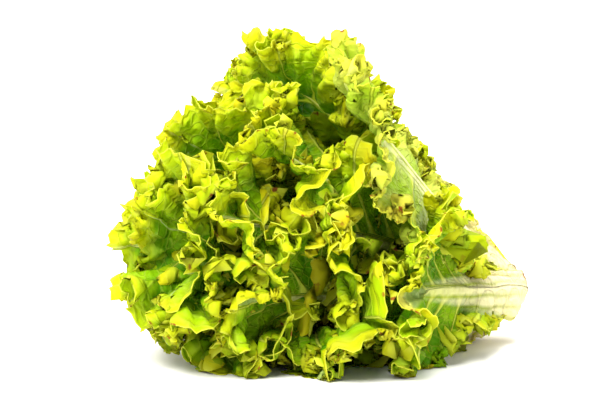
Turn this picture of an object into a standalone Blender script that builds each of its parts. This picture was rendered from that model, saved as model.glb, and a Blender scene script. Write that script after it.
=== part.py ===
"""Batavia lettuce: one cut head lying on its side, its butt to +X and its open, frilled side to -X and -Y.

The head is a short stem that carries loose leaves in a golden-angle spiral. Every leaf lies on
its own shell: a surface round the head's axis that opens wider the further out the leaf grows.
Two shells never meet, so the waved blades pass one another with air between them.
Metres, degrees where a name says so, +Z up. The origin is the middle of the base of the head.
"""

import math

import bpy
import numpy as np

# The whole head
LEAF_COUNT = 28
GOLDEN_ANGLE_DEG = -137.508
FIRST_AZIMUTH_DEG = 95.6
AXIS_TURN_DEG = 28.6
AXIS_RISE_DEG = 6.9
BUTT_HEIGHT = 0.039
SEED = 7

# The stem, and the share of its length over which the leaves are rooted
STEM_RADIUS = 0.0155
STEM_TIP_RADIUS = 0.0025
STEM_LENGTH = 0.050
STEM_SIDES = 24
CUT_ROUNDING = 0.0008
FIRST_ROOT = 0.08
LAST_ROOT = 0.96
ROOT_GAP = 0.0009

# The shells: how far the outermost leaf leans from the axis, and how that changes along it.
# It leans out at its root and straightens over the fall's share of its length. The lean at the root
# is tamed near the front, most of all where it is turned up by the shift, and is kept above the least.
LEAN_MEAN_DEG = 33.9
LEAN_UP_DEG = 14.0
LEAN_FRONT_DEG = -0.1
LEAN_SIDE_DEG = 0.1
SHELL_LENGTH = 0.250
LEAN_TAIL = 0.89
LEAN_ROOT = 1.29
LEAN_FALL = 0.16
FRONT_TAMED = 2.09
TAMED_SHIFT_DEG = 45.0
LEAST_LEAN = 0.3
LEAN_GROWTH = 1.41
INNER_SHELL = 0.06
PATH_STEPS = 16

# Under the head the leaves drop to the surface and then run along it
UNDERSIDE_ROOT_DEG = 58.4
UNDERSIDE_REST_DEG = 4.0
UNDERSIDE_FALL = 0.18
UNDERSIDE_BLEND = 3.0

# How the head sags on the surface: below the first height it is squeezed, down to the flat spot
SAG_FROM = 0.015
SAG_SQUEEZE = 0.42
FLAT_CUT = 0.0022

# How much longer and how far round the outer leaves grew beside the plain spiral
LENGTH_SHARES = (0.92, 1.08, 0.9, 1.08, 0.9, 0.96, 1.03, 0.92, 0.94, 1.01, 1.0, 1.02)
AZIMUTH_SHIFTS_DEG = (-4.0, -7.0, 7.0, -8.0, -1.0, -7.0, -5.0, -4.0, -7.0, 7.0, 7.0, 2.0)

# The leaf blade, from the outermost leaf to the heart
OUTER_LENGTH = 0.209
INNER_LENGTH = 0.242
HEART_LENGTH = 0.17
LONGEST_AT = 0.7
LENGTH_GROWTH = 1.3
OUTER_HALF_WIDTH = 0.080
INNER_HALF_WIDTH = 0.050
WIDTH_FALL = 1.5
BASE_HALF_WIDTH = 0.0145
HEART_BASE_SHARE = 0.2
WIDEST_AT = 0.66
TAPER = 1.6  # how late the blade widens above its petiole
# The front leaf has the longest, broadest bare petiole and the narrowest blade
FIRST_LEAF_WIDEST_AT = 0.78
FIRST_LEAF_TAPER = 5.0
FIRST_LEAF_WIDTH = 0.75
FIRST_LEAF_BASE = 1.1
MOST_WRAP_DEG = 62.0
CUP_SPREAD = 0.004
BLADE_THICKNESS = 0.0008

# The side veins: where one leaves the midrib, as a share of how far up it reaches the margin
VEIN_START = 0.84
VEIN_SPREAD = 0.10
VEIN_BEND = 1.3

# The midrib, standing out at the back of the blade
OUTER_RIB = 0.0040
INNER_RIB = 0.0006
RIB_FALL = 2.5
RIB_AT_ROOT = 0.35
RIB_GROWN_AT = 0.040
RIB_FADE = 1.2
RIB_WIDTH_AT_TIP = 0.15
RIB_WIDTH_AT_ROOT = 0.75

# The waved margin
WAVES = 9.0
WAVES_SPREAD = 0.8
WAVE_DRIFT = 0.9
WAVE_HEIGHT = 0.011
WAVE_FROM = 0.10
WAVE_FULL = 0.35
LEAST_ALONG = 0.030
SHELL_ROOM = 0.022

# The rows of points from the midrib to the margin
ROW_PLACES = (0.0, 0.14, 0.42, 0.74, 1.0)
ROW_COLUMNS = (16, 16, 16, 32, 64)
HEART_COLUMNS = (12, 12, 12, 24, 48)
HEART_FROM = 20
OUTLINE_STEPS = 400

LEAF_GREEN = (0.42, 0.56, 0.03)
LEAF_ROUGHNESS = 0.45
STEM_CREAM = (0.86, 0.80, 0.58)
STEM_ROUGHNESS = 0.50


def axis_frame():
    """The head's axis, and the two directions across it: up, and to the front."""
    turn, rise = math.radians(AXIS_TURN_DEG), math.radians(AXIS_RISE_DEG)
    flat = math.cos(rise)
    axis = np.array([-math.cos(turn) * flat, -math.sin(turn) * flat, math.sin(rise)])
    up = np.array([0.0, 0.0, 1.0]) - axis * axis[2]
    up /= np.linalg.norm(up)
    return axis, up, np.cross(up, axis)


AXIS, UP, FRONT = axis_frame()


def shell_points(azimuth, shell, along):
    """Points of the shells, the radius there and the outermost shell's lean.

    The azimuth goes round the axis, the shell from 0 at the heart to 1, and along is the way up the leaf.
    """
    front = (1 + np.sin(azimuth)) / 2
    lopsided = LEAN_UP_DEG * np.cos(azimuth) + LEAN_FRONT_DEG * front**2
    most = np.radians(LEAN_MEAN_DEG + lopsided + LEAN_SIDE_DEG * np.cos(2 * azimuth))
    tamed = (1 + np.sin(azimuth + math.radians(TAMED_SHIFT_DEG))) / 2
    at_root = np.maximum(LEAN_ROOT * (1 - FRONT_TAMED * tamed**4), LEAST_LEAN - LEAN_TAIL)
    under = ((1 - np.cos(azimuth)) / 2) ** UNDERSIDE_BLEND
    radius = STEM_TIP_RADIUS + (STEM_RADIUS - STEM_TIP_RADIUS) * shell + ROOT_GAP
    height = STEM_LENGTH * (LAST_ROOT + (FIRST_ROOT - LAST_ROOT) * shell)
    for step in range(PATH_STEPS):
        x = (step + 0.5) / PATH_STEPS * along / SHELL_LENGTH
        above = most * (LEAN_TAIL + at_root * np.exp(-x / LEAN_FALL))
        below = np.radians(UNDERSIDE_REST_DEG + UNDERSIDE_ROOT_DEG * np.exp(-x / UNDERSIDE_FALL))
        lean = shell**LEAN_GROWTH * (above + (below - above) * under)
        radius = radius + np.sin(lean) * along / PATH_STEPS
        height = height + np.cos(lean) * along / PATH_STEPS
    across = np.cos(azimuth)[..., None] * UP + np.sin(azimuth)[..., None] * FRONT
    return height[..., None] * AXIS + radius[..., None] * across, radius, most


def sagged(points):
    """Points of the head with its underside squeezed together by its own weight."""
    made = points + np.array([0, 0, BUTT_HEIGHT])
    squeezed = SAG_FROM + (made[..., 2] - SAG_FROM) * SAG_SQUEEZE
    made[..., 2] = np.where(made[..., 2] < SAG_FROM, squeezed, made[..., 2])
    return made


def leaf_sizes(index):
    """The leaf's place from 0 outside to 1 in the heart, its length, two half widths and rib height."""
    inward = index / (LEAF_COUNT - 1)
    grown = min(1.0, inward / LONGEST_AT) ** LENGTH_GROWTH
    length = OUTER_LENGTH + (INNER_LENGTH - OUTER_LENGTH) * grown
    if inward > LONGEST_AT:
        length += (HEART_LENGTH - INNER_LENGTH) * ((inward - LONGEST_AT) / (1 - LONGEST_AT)) ** 2
    if index < len(LENGTH_SHARES):
        length *= LENGTH_SHARES[index]
    half_width = OUTER_HALF_WIDTH + (INNER_HALF_WIDTH - OUTER_HALF_WIDTH) * inward**WIDTH_FALL
    base_half_width = BASE_HALF_WIDTH * (1 + (HEART_BASE_SHARE - 1) * inward)
    if index == 0:
        half_width *= FIRST_LEAF_WIDTH
        base_half_width *= FIRST_LEAF_BASE
    rib = INNER_RIB + (OUTER_RIB - INNER_RIB) * (1 - inward) ** RIB_FALL
    return inward, length, half_width, base_half_width, rib


def leaf_outline(index, count):
    """Points of the flat leaf's margin, evenly spaced from the left of its base round its tip."""
    _, length, half_width, base_half_width, _ = leaf_sizes(index)
    taper, widest_at = (TAPER, WIDEST_AT) if index else (FIRST_LEAF_TAPER, FIRST_LEAF_WIDEST_AT)
    x = (1 - np.cos(np.linspace(0, math.pi, OUTLINE_STEPS))) / 2
    widening = (1 - np.cos(math.pi * np.clip(x / widest_at, 0, 1) ** taper)) / 2
    past = np.clip(x - widest_at, 0, None) / (1 - widest_at)
    rounding = np.sqrt(np.clip(1 - past**2, 0, None))
    petiole_side = base_half_width + (half_width - base_half_width) * widening
    width = np.where(x < widest_at, petiole_side, half_width * rounding)
    along = np.concatenate([x, x[-2::-1]]) * length
    aside = np.concatenate([-width, width[-2::-1]])
    run = np.concatenate([[0], np.cumsum(np.hypot(np.diff(along), np.diff(aside)))])
    even = np.linspace(0, run[-1], count + 1)
    return np.interp(even, run, along), np.interp(even, run, aside)


def leaf_rows(index, rng, columns):
    """The leaf's middle surface in rows from its midrib to its margin: points, and places when flat."""
    inward, length, _, _, _ = leaf_sizes(index)
    shell = 1 - (1 - INNER_SHELL) * inward
    aside_by = AZIMUTH_SHIFTS_DEG[index] if index < len(AZIMUTH_SHIFTS_DEG) else 0.0
    azimuth = math.radians(FIRST_AZIMUTH_DEG + GOLDEN_ANGLE_DEG * index + aside_by)
    phase, drift = rng.uniform(0, 2 * math.pi, 2)
    waves = WAVES + rng.uniform(-WAVES_SPREAD, WAVES_SPREAD)
    cup = rng.uniform(-CUP_SPREAD, CUP_SPREAD)
    wrap = math.radians(MOST_WRAP_DEG)
    rows = []
    for place, count in zip(ROW_PLACES, columns):
        along, aside = leaf_outline(index, count)
        start = np.clip(VEIN_START * along - VEIN_SPREAD * np.abs(aside), 0, None)
        x = start + (along - start) * place**VEIN_BEND
        y = aside * place
        turn = np.linspace(0, 1, count + 1)
        drifting = WAVE_DRIFT * np.sin(4 * math.pi * turn + drift)
        wave = np.sin(2 * math.pi * waves * turn + phase + drifting)
        grown = place**2 * np.clip((x / length - WAVE_FROM) / (WAVE_FULL - WAVE_FROM), 0, 1)
        _, radius, most = shell_points(np.full(count + 1, azimuth), shell, x)
        swing = wrap * np.tanh(y / radius / wrap)
        rise = WAVE_HEIGHT * wave * grown + cup * place**2
        shift = SHELL_ROOM * np.tanh(rise / (most * np.maximum(x, LEAST_ALONG)) / SHELL_ROOM)
        points, _, _ = shell_points(azimuth + swing, shell + shift, x)
        rows.append((sagged(points), x, y))
    return rows


def row_indices(columns):
    """Each row's vertex numbers. The midrib's row runs up and back down over the same points."""
    rows = [[min(j, columns[0] - j) for j in range(columns[0] + 1)]]
    used = columns[0] // 2 + 1
    for count in columns[1:]:
        rows.append(list(range(used, used + count + 1)))
        used += count + 1
    return rows, used


def strip_triangles(inner, outer):
    """Triangles between two rows, of which the outer one may have twice as many columns."""
    made = []
    if len(inner) == len(outer):
        for j in range(len(inner) - 1):
            made += [(inner[j], outer[j], outer[j + 1]), (inner[j], outer[j + 1], inner[j + 1])]
        return made
    for j in range(len(inner) - 1):
        first, middle, last = outer[2 * j : 2 * j + 3]
        made += [(inner[j], first, middle), (inner[j], middle, inner[j + 1]), (inner[j + 1], middle, last)]
    return made


def vertex_normals(points, triangles):
    corners = points[triangles]
    across = np.cross(corners[:, 1] - corners[:, 0], corners[:, 2] - corners[:, 0])
    normals = np.zeros_like(points)
    for corner in range(3):
        np.add.at(normals, triangles[:, corner], across)
    return normals / np.linalg.norm(normals, axis=1)[:, None]


def leaf_solid(index, rng):
    """The leaf as a closed mesh: its middle surface made thick, the rib standing out at its back."""
    columns = ROW_COLUMNS if index < HEART_FROM else HEART_COLUMNS
    numbers, used = row_indices(columns)
    points, x, y = np.zeros((used, 3)), np.zeros(used), np.zeros(used)
    for (row_points, row_x, row_y), row in zip(leaf_rows(index, rng, columns), numbers):
        points[row], x[row], y[row] = row_points, row_x, row_y
    strips = [strip_triangles(inner, outer) for inner, outer in zip(numbers, numbers[1:])]
    triangles = np.array(sum(strips, []))
    normals = vertex_normals(points, triangles)
    _, length, _, base_half_width, rib = leaf_sizes(index)
    left = np.clip(1 - x / length, 0, 1)
    rib_width = base_half_width * (RIB_WIDTH_AT_TIP + (RIB_WIDTH_AT_ROOT - RIB_WIDTH_AT_TIP) * left)
    grown = np.clip(RIB_AT_ROOT + (1 - RIB_AT_ROOT) * x / RIB_GROWN_AT, 0, 1)
    standing = rib * grown * left**RIB_FADE * np.exp(-((y / rib_width) ** 2))
    outside = points + normals * (BLADE_THICKNESS / 2 + standing)[:, None]
    inside = points - normals * BLADE_THICKNESS / 2
    edge = numbers[-1] + [row[-1] for row in numbers[-2::-1]] + [row[0] for row in numbers[1:-1]]
    rim = []
    for a, b in zip(edge, edge[1:] + edge[:1]):
        rim += [(a, a + used, b + used), (a, b + used, b)]
    faces = [tuple(f) for f in triangles] + [tuple(f[::-1] + used) for f in triangles] + rim
    return np.concatenate([outside, inside]), faces


def flattened(points, surface):
    """The leaf's outside kept on or above the surface, and its inside a blade's thickness above that."""
    made = points.copy()
    half = len(made) // 2
    made[:half, 2] = np.maximum(made[:half, 2], surface)
    made[half:, 2] = np.maximum(made[half:, 2], surface + BLADE_THICKNESS)
    return made


def stem_solid():
    """The stem, turned round the axis: its cut face, a short straight foot and the cone above it."""
    profile = [
        (STEM_RADIUS - CUT_ROUNDING, 0),
        (STEM_RADIUS, CUT_ROUNDING),
        (STEM_RADIUS, FIRST_ROOT * STEM_LENGTH),
        (STEM_TIP_RADIUS, LAST_ROOT * STEM_LENGTH),
    ]
    points = []
    for radius, height in profile:
        for side in range(STEM_SIDES):
            angle = 2 * math.pi * side / STEM_SIDES
            points.append(height * AXIS + radius * (math.cos(angle) * UP + math.sin(angle) * FRONT))
    foot, tip = len(points), len(points) + 1
    points += [np.zeros(3), STEM_LENGTH * AXIS]
    faces = []
    for side in range(STEM_SIDES):
        after = (side + 1) % STEM_SIDES
        faces.append((foot, side, after))
        for ring in range(len(profile) - 1):
            low, high = ring * STEM_SIDES, (ring + 1) * STEM_SIDES
            faces.append((low + side, high + side, high + after, low + after))
        last = (len(profile) - 1) * STEM_SIDES
        faces.append((last + side, tip, last + after))
    return np.array(points) + np.array([0, 0, BUTT_HEIGHT]), faces


def plain_material(name, colour, roughness):
    material = bpy.data.materials.new(name)
    material.use_nodes = True
    shader = material.node_tree.nodes["Principled BSDF"]
    shader.inputs["Base Color"].default_value = (*colour, 1)
    shader.inputs["Roughness"].default_value = roughness
    return material


def add_mesh(name, points, faces, material):
    mesh = bpy.data.meshes.new(name)
    mesh.from_pydata([tuple(p) for p in points], [], faces)
    mesh.polygons.foreach_set("use_smooth", [True] * len(mesh.polygons))
    mesh.materials.append(material)
    bpy.context.scene.collection.objects.link(bpy.data.objects.new(name, mesh))


def build():
    for old in list(bpy.data.objects):
        bpy.data.objects.remove(old)
    rng = np.random.default_rng(SEED)
    leaf_green = plain_material("lettuce_leaf", LEAF_GREEN, LEAF_ROUGHNESS)
    stem_cream = plain_material("lettuce_stem", STEM_CREAM, STEM_ROUGHNESS)
    leaves = [leaf_solid(index, rng) for index in range(LEAF_COUNT)]
    lowest = np.argmin([points[:, 2].min() for points, _ in leaves])
    surface = leaves[lowest][0][:, 2].min() + FLAT_CUT
    parts = [("stem", *stem_solid(), stem_cream)]
    for index, (points, faces) in enumerate(leaves):
        points = flattened(points, surface if index == lowest else surface + 2 * BLADE_THICKNESS)
        parts.append((f"leaf_{index + 1:02d}", points, faces, leaf_green))
    low = np.min([points.min(axis=0) for _, points, _, _ in parts], axis=0)
    high = np.max([points.max(axis=0) for _, points, _, _ in parts], axis=0)
    origin = np.array([(low[0] + high[0]) / 2, (low[1] + high[1]) / 2, low[2]])
    for name, points, faces, material in parts:
        add_mesh(name, points - origin, faces, material)


build()
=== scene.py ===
"""Batavia lettuce: the look of one cut head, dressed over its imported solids.

Each blade is made again, finer than its solid and on the same shell of the head. Geometry Nodes then
give it teeth and a roll along the margin, blisters and bows between the veins, and three orders of
ruffles: folds, curls on the folds and crimps on the curls. Metres, +Z up.
"""

import math

import bpy
import numpy as np
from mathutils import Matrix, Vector


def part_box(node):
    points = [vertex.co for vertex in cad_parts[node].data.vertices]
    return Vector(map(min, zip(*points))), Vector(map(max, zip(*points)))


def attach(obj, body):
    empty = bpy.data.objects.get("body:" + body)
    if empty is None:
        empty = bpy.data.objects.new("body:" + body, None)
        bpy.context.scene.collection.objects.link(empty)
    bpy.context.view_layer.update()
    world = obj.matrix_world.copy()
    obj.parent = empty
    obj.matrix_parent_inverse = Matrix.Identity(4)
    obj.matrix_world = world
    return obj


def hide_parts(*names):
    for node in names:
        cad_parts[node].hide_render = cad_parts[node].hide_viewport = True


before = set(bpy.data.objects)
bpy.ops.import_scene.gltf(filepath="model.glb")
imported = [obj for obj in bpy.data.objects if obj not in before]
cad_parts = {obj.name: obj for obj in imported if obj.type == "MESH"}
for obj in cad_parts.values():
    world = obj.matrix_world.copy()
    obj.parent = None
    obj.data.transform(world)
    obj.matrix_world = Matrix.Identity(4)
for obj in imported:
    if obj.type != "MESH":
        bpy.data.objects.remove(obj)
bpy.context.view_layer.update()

# The whole head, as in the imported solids
LEAF_COUNT = 28
GOLDEN_ANGLE_DEG = -137.508
FIRST_AZIMUTH_DEG = 95.6
AXIS_TURN_DEG = 28.6
AXIS_RISE_DEG = 6.9
BUTT_HEIGHT = 0.039
SEED = 7

STEM_RADIUS = 0.0155
STEM_TIP_RADIUS = 0.0025
STEM_LENGTH = 0.050
STEM_SIDES = 24
CUT_ROUNDING = 0.0008
FIRST_ROOT = 0.08
LAST_ROOT = 0.96
ROOT_GAP = 0.0009

LEAN_MEAN_DEG = 33.9
LEAN_UP_DEG = 14.0
LEAN_FRONT_DEG = -0.1
LEAN_SIDE_DEG = 0.1
SHELL_LENGTH = 0.250
LEAN_TAIL = 0.89
LEAN_ROOT = 1.29
LEAN_FALL = 0.16
FRONT_TAMED = 2.09
TAMED_SHIFT_DEG = 45.0
LEAST_LEAN = 0.3
LEAN_GROWTH = 1.41
INNER_SHELL = 0.06
PATH_STEPS = 16

UNDERSIDE_ROOT_DEG = 58.4
UNDERSIDE_REST_DEG = 4.0
UNDERSIDE_FALL = 0.18
UNDERSIDE_BLEND = 3.0
SAG_FROM = 0.015
SAG_SQUEEZE = 0.42

LENGTH_SHARES = (0.92, 1.08, 0.9, 1.08, 0.9, 0.96, 1.03, 0.92, 0.94, 1.01, 1.0, 1.02)
AZIMUTH_SHIFTS_DEG = (-4.0, -7.0, 7.0, -8.0, -1.0, -7.0, -5.0, -4.0, -7.0, 7.0, 7.0, 2.0)
OUTER_LENGTH = 0.209
INNER_LENGTH = 0.242
HEART_LENGTH = 0.17
LONGEST_AT = 0.7
LENGTH_GROWTH = 1.3
OUTER_HALF_WIDTH = 0.080
INNER_HALF_WIDTH = 0.050
WIDTH_FALL = 1.5
BASE_HALF_WIDTH = 0.0145
HEART_BASE_SHARE = 0.2
WIDEST_AT = 0.66
TAPER = 1.6
FIRST_LEAF_TAPER = 5.0
FIRST_LEAF_WIDEST_AT = 0.78
FIRST_LEAF_WIDTH = 0.75
FIRST_LEAF_BASE = 1.1
MOST_WRAP_DEG = 62.0
CUP_SPREAD = 0.004

VEIN_START = 0.84
VEIN_SPREAD = 0.10
VEIN_BEND = 1.3

OUTER_RIB = 0.0040
INNER_RIB = 0.0006
RIB_FALL = 2.5
RIB_AT_ROOT = 0.35
RIB_GROWN_AT = 0.040
RIB_FADE = 1.2
RIB_WIDTH_AT_TIP = 0.15
RIB_WIDTH_AT_ROOT = 0.75

RIDGE_HEIGHT, RIDGE_LENGTH = 0.0009, 0.0062
RIDGES_TO = 0.11
VEIN_LENGTH = 0.026
PALE_AT_TIP, PALE_AT_ROOT = 0.0010, 0.0125  # half the width of the pale midrib
PALE_FADE = 1.2
HEART_PALE_LOSS = 0.7

WAVES = 9.0
WAVES_SPREAD = 0.8
WAVE_DRIFT = 0.9
WAVE_HEIGHT = 0.011
WAVE_FROM = 0.10
WAVE_FULL = 0.35
LEAST_ALONG = 0.030
SHELL_ROOM = 0.022
OUTLINE_STEPS = 400

# The finer blades: rows of points from the midrib to the margin, with how many columns each has
FINE_PLACES = (0, 0.08, 0.16, 0.24, 0.32, 0.39, 0.45, 0.51, 0.57, 0.62, 0.67, 0.71, 0.75, 0.785, 0.82, 0.85,
               0.88, 0.905, 0.93, 0.95, 0.97, 0.985, 1.0)
FINE_COLUMNS = (64,) * 2 + (128,) * 3 + (256,) * 5 + (512,) * 6 + (1024,) * 7
BARE_SHARE = 0.7  # the bare petiole's sides have so many columns beside the ruffled margin
HALF_FROM, QUARTER_FROM = 13, 25  # from these leaves inwards the blades have fewer columns

# The ruffles
RUFFLE_FROM = 0.26
RUFFLE_FULL = 0.52
MARGIN_EARLIER = 0.65  # along the margin the ruffles start so much nearer the base than inside
TIP_FROM, TIP_FULL = 0.45, 0.85
# These leaves have ruffles of their own: where they start and are full along the leaf, how much wider the
# midrib is pale, and how far the rest of the back is painted pale, a painted highlight where it is brightly
# lit
BARE_BACKS = {0: (0.45, 0.70, 2.2, 0.0), 1: (0.16, 0.36, 1.0, 0.0), 3: (0.60, 0.80, 3.6, 0.60)}
ROLL_SHARES = {0: 0.7, 1: 0.35, 3: 0.6}  # these leaves roll less than the others
SIDE_SHARES = {5: 0.22, 6: 0.45}  # the sides of these, under a bare back, ruffle so much less than the tip
# What every blade's tree of nodes is given, in metres. Side Roll is the share of the tip's roll that the
# sides have.
BLADE_SIZES = {
    "Blister Height": 0.0014, "Blister Length": 0.0085,
    "Fold Height": 0.0052, "Fold Length": 0.0148,
    "Curl Height": 0.0023, "Curl Length": 0.0064,
    "Crimp Height": 0.0012, "Crimp Length": 0.0034,
    "Tooth Depth": 0.0032, "Tooth Length": 0.0023,
    "Roll Depth": 0.038, "Side Roll": 0.35,
    "Vein Length": VEIN_LENGTH, "Quilt Depth": 0.0045,
    "Blade Thickness": 0.0005, "Floor Softness": 0.003,
}
ROLL_ANGLE = 1.6
SEED_STEP = 3.7
# The orders of ruffles: where each starts from midrib to margin, how steeply it grows, how far its waves
# lean over, and what is added to the blade's seed
RUFFLE_ORDERS = {
    "Fold": (0.20, 1.0, 0.21, 0.0),
    "Curl": (0.35, 1.1, 0.19, 31.0),
    "Crimp": (0.65, 1.2, 0.16, 57.0),
}
NOISE_LOW, NOISE_HIGH = 0.3, 0.7  # nearly all of a noise lies between these
WANDER = 0.6  # how far the waves of an order drift along the margin, in wave lengths
TOOTH_WANDER = 2.4  # how far the teeth do, in tooth lengths
BANDS = 2.5  # how much the drift changes from midrib to margin
# How fast the noises run along the margin, beside the waves or the teeth
DRIFT_RATE, STRENGTH_RATE, TOOTH_RATE, LOBE_RATE, ROLL_RATE = 0.45, 1.3, 0.31, 0.28, 0.10
WAVE_STRENGTHS = (0.55, 1.3)
TOOTH_STRENGTHS = (0.3, 1.5)
LOBE_REACHES = (-1.8, 1.2)
ROLL_STRENGTHS = (0.1, 1.2)
TEETH_FROM = 0.80
CRISP_ANGLE = 1.1  # at the margin, edges sharper than this are shaded sharp


def axis_frame():
    """The head's axis, and the two directions across it: up, and to the front."""
    turn, rise = math.radians(AXIS_TURN_DEG), math.radians(AXIS_RISE_DEG)
    flat = math.cos(rise)
    axis = np.array([-math.cos(turn) * flat, -math.sin(turn) * flat, math.sin(rise)])
    up = np.array([0.0, 0.0, 1.0]) - axis * axis[2]
    up /= np.linalg.norm(up)
    return axis, up, np.cross(up, axis)


AXIS, UP, FRONT = axis_frame()


def stem_ring(radius, height):
    """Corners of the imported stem's ring at that height."""
    angle = 2 * np.pi * np.arange(STEM_SIDES) / STEM_SIDES
    across = np.cos(angle)[:, None] * UP + np.sin(angle)[:, None] * FRONT
    return height * AXIS + radius * across + np.array([0, 0, BUTT_HEIGHT])


def head_origin():
    """The row frame's origin in the head's own coordinates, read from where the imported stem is."""
    rings = [stem_ring(STEM_RADIUS - CUT_ROUNDING, 0), stem_ring(STEM_RADIUS, CUT_ROUNDING)]
    rings += [stem_ring(STEM_RADIUS, FIRST_ROOT * STEM_LENGTH)]
    rings += [stem_ring(STEM_TIP_RADIUS, LAST_ROOT * STEM_LENGTH), stem_ring(0, STEM_LENGTH)]
    return np.concatenate(rings).min(axis=0) - np.array(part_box("stem")[0])


ORIGIN = head_origin()


def shell_points(azimuth, shell, along):
    """Points of the shells, the radius there and the outermost shell's lean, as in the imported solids."""
    front = (1 + np.sin(azimuth)) / 2
    lopsided = LEAN_UP_DEG * np.cos(azimuth) + LEAN_FRONT_DEG * front**2
    most = np.radians(LEAN_MEAN_DEG + lopsided + LEAN_SIDE_DEG * np.cos(2 * azimuth))
    tamed = (1 + np.sin(azimuth + math.radians(TAMED_SHIFT_DEG))) / 2
    at_root = np.maximum(LEAN_ROOT * (1 - FRONT_TAMED * tamed**4), LEAST_LEAN - LEAN_TAIL)
    under = ((1 - np.cos(azimuth)) / 2) ** UNDERSIDE_BLEND
    radius = STEM_TIP_RADIUS + (STEM_RADIUS - STEM_TIP_RADIUS) * shell + ROOT_GAP
    height = STEM_LENGTH * (LAST_ROOT + (FIRST_ROOT - LAST_ROOT) * shell)
    for step in range(PATH_STEPS):
        x = (step + 0.5) / PATH_STEPS * along / SHELL_LENGTH
        above = most * (LEAN_TAIL + at_root * np.exp(-x / LEAN_FALL))
        below = np.radians(UNDERSIDE_REST_DEG + UNDERSIDE_ROOT_DEG * np.exp(-x / UNDERSIDE_FALL))
        lean = shell**LEAN_GROWTH * (above + (below - above) * under)
        radius = radius + np.sin(lean) * along / PATH_STEPS
        height = height + np.cos(lean) * along / PATH_STEPS
    across = np.cos(azimuth)[..., None] * UP + np.sin(azimuth)[..., None] * FRONT
    return height[..., None] * AXIS + radius[..., None] * across, radius, most


def sagged(points):
    """Points of the head in the row frame, its underside squeezed together by its own weight."""
    made = points + np.array([0, 0, BUTT_HEIGHT])
    squeezed = SAG_FROM + (made[..., 2] - SAG_FROM) * SAG_SQUEEZE
    made[..., 2] = np.where(made[..., 2] < SAG_FROM, squeezed, made[..., 2])
    return made - ORIGIN


def leaf_sizes(index):
    """How far in the leaf is from 0 to 1, its length, its half widths at blade and base, and its rib."""
    inward = index / (LEAF_COUNT - 1)
    grown = min(1.0, inward / LONGEST_AT) ** LENGTH_GROWTH
    length = OUTER_LENGTH + (INNER_LENGTH - OUTER_LENGTH) * grown
    if inward > LONGEST_AT:
        length += (HEART_LENGTH - INNER_LENGTH) * ((inward - LONGEST_AT) / (1 - LONGEST_AT)) ** 2
    if index < len(LENGTH_SHARES):
        length *= LENGTH_SHARES[index]
    half_width = OUTER_HALF_WIDTH + (INNER_HALF_WIDTH - OUTER_HALF_WIDTH) * inward**WIDTH_FALL
    base_half_width = BASE_HALF_WIDTH * (1 + (HEART_BASE_SHARE - 1) * inward)
    if index == 0:
        half_width *= FIRST_LEAF_WIDTH
        base_half_width *= FIRST_LEAF_BASE
    rib = INNER_RIB + (OUTER_RIB - INNER_RIB) * (1 - inward) ** RIB_FALL
    return inward, length, half_width, base_half_width, rib


def leaf_outline(index, count):
    """Points of the flat leaf's margin, closest where it is ruffled, and how far along it each one is."""
    _, length, half_width, base_half_width, _ = leaf_sizes(index)
    taper, widest_at = (TAPER, WIDEST_AT) if index else (FIRST_LEAF_TAPER, FIRST_LEAF_WIDEST_AT)
    x = (1 - np.cos(np.linspace(0, math.pi, OUTLINE_STEPS))) / 2
    widening = (1 - np.cos(math.pi * np.clip(x / widest_at, 0, 1) ** taper)) / 2
    past = np.clip(x - widest_at, 0, None) / (1 - widest_at)
    rounding = np.sqrt(np.clip(1 - past**2, 0, None))
    petiole_side = base_half_width + (half_width - base_half_width) * widening
    width = np.where(x < widest_at, petiole_side, half_width * rounding)
    along = np.concatenate([x, x[-2::-1]]) * length
    aside = np.concatenate([-width, width[-2::-1]])
    steps = np.hypot(np.diff(along), np.diff(aside))
    run = np.concatenate([[0], np.cumsum(steps)])
    leafy = np.clip((along[1:] / length - RUFFLE_FROM) / (RUFFLE_FULL - RUFFLE_FROM), 0, 1)
    crowded = np.concatenate([[0], np.cumsum(steps * (BARE_SHARE + (1 - BARE_SHARE) * leafy))])
    spread = np.interp(np.linspace(0, crowded[-1], count + 1), crowded, run)
    return np.interp(spread, run, along), np.interp(spread, run, aside), spread


def row_indices(columns):
    """Each row's vertex numbers. The midrib's row runs up and back down over the same points."""
    rows = [np.minimum(np.arange(columns[0] + 1), columns[0] - np.arange(columns[0] + 1))]
    used = columns[0] // 2 + 1
    for count in columns[1:]:
        rows.append(np.arange(used, used + count + 1))
        used += count + 1
    return rows, used


def strip_triangles(inner, outer):
    """Triangles between two rows, of which the outer one may have twice as many columns."""
    near, next_near = inner[:-1], inner[1:]
    if len(inner) == len(outer):
        far, next_far = outer[:-1], outer[1:]
        fans = [(near, far, next_far), (near, next_far, next_near)]
    else:
        first, middle, last = outer[:-1:2], outer[1::2], outer[2::2]
        fans = [(near, first, middle), (near, middle, next_near), (next_near, middle, last)]
    return np.concatenate([np.stack(fan, axis=1) for fan in fans])


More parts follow.
